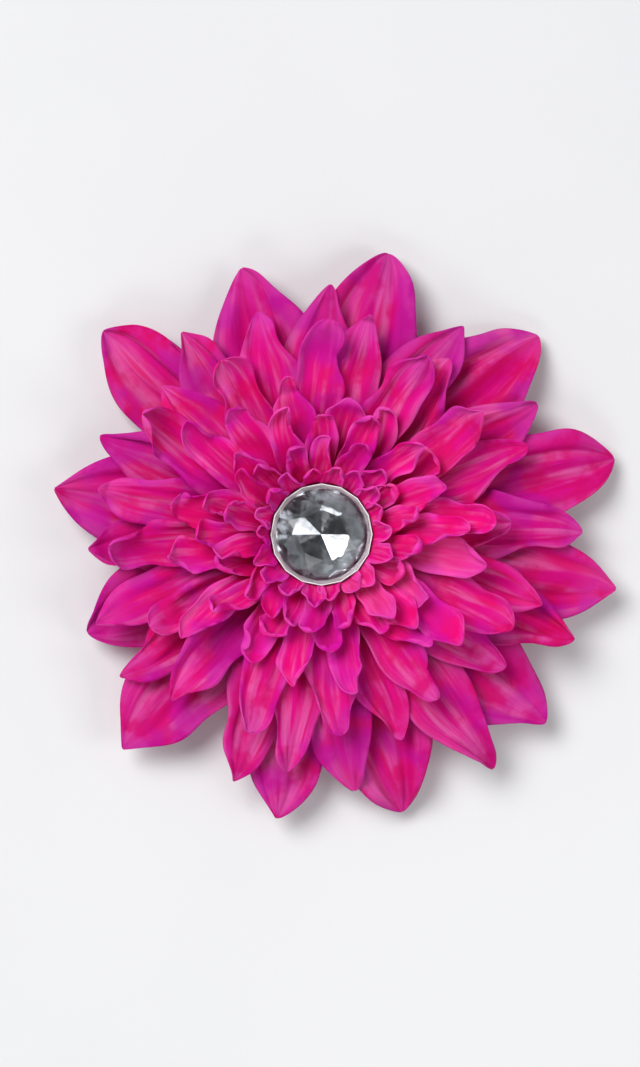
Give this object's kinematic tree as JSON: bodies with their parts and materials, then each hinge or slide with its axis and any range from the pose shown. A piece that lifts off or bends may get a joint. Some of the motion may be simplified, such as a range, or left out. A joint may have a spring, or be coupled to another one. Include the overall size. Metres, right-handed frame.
{
  "type": "pom pom flower magnet",
  "caption": "Layered cloth pom pom flower on a disc magnet, with a faceted crystal centre, for dressing a steel door or board.",
  "frame": {"origin": "centre of the magnet's flat face, which holds to steel or rests on a table", "axes": "+Z out of the flower's face, along its stem; +Y is up when the flower hangs on a door, and +X is to the right of a person facing it"},
  "size_m": [0.1473, 0.1473, 0.0293],
  "materials": {
    "ferrite": "dull dark grey sintered magnet",
    "foam_tape": "soft white foam",
    "felt": "magenta craft felt",
    "glue": "cloudy hot glue",
    "calyx_plastic": "moulded plastic",
    "stem_plastic": "moulded natural plastic",
    "petal_cloth": "hot pink satin cloth with a purple cast and a soft sheen",
    "mirror_foil": "silvered foil",
    "crystal": "clear cut acrylic stone"
  },
  "bodies": {
    "backing": {"magnet_disc": "ferrite", "magnet_tape": "foam_tape", "felt_backing": "felt", "calyx_glue": "glue", "calyx_base": "calyx_plastic", "center_stem": "stem_plastic", "petal_layer_1": "petal_cloth", "spacer_1": "stem_plastic", "spacer_2": "stem_plastic", "spacer_3": "stem_plastic", "spacer_4": "stem_plastic", "spacer_5": "stem_plastic", "spacer_6": "stem_plastic", "spacer_7": "stem_plastic", "petal_layer_8": "petal_cloth", "seat_glue": "glue", "gem_seat": "stem_plastic", "gem_foil": "mirror_foil", "gem_crystal": "crystal"},
    "layer_2": {"petal_layer_2": "petal_cloth"},
    "layer_3": {"petal_layer_3": "petal_cloth"},
    "layer_4": {"petal_layer_4": "petal_cloth"},
    "layer_5": {"petal_layer_5": "petal_cloth"},
    "layer_6": {"petal_layer_6": "petal_cloth"},
    "layer_7": {"petal_layer_7": "petal_cloth"}
  },
  "joints": [
    {"name": "layer_2_turn", "type": "hinge", "parent": "backing", "child": "layer_2", "pos_m": [0, 0, 0.01], "axis": [0, 0, 1], "continuous": true},
    {"name": "layer_3_turn", "type": "hinge", "parent": "backing", "child": "layer_3", "pos_m": [0, 0, 0.0115], "axis": [0, 0, 1], "continuous": true},
    {"name": "layer_4_turn", "type": "hinge", "parent": "backing", "child": "layer_4", "pos_m": [0, 0, 0.013], "axis": [0, 0, 1], "continuous": true},
    {"name": "layer_5_turn", "type": "hinge", "parent": "backing", "child": "layer_5", "pos_m": [0, 0, 0.0145], "axis": [0, 0, 1], "continuous": true},
    {"name": "layer_6_turn", "type": "hinge", "parent": "backing", "child": "layer_6", "pos_m": [0, 0, 0.016], "axis": [0, 0, 1], "continuous": true},
    {"name": "layer_7_turn", "type": "hinge", "parent": "backing", "child": "layer_7", "pos_m": [0, 0, 0.0175], "axis": [0, 0, 1], "continuous": true}
  ]
}
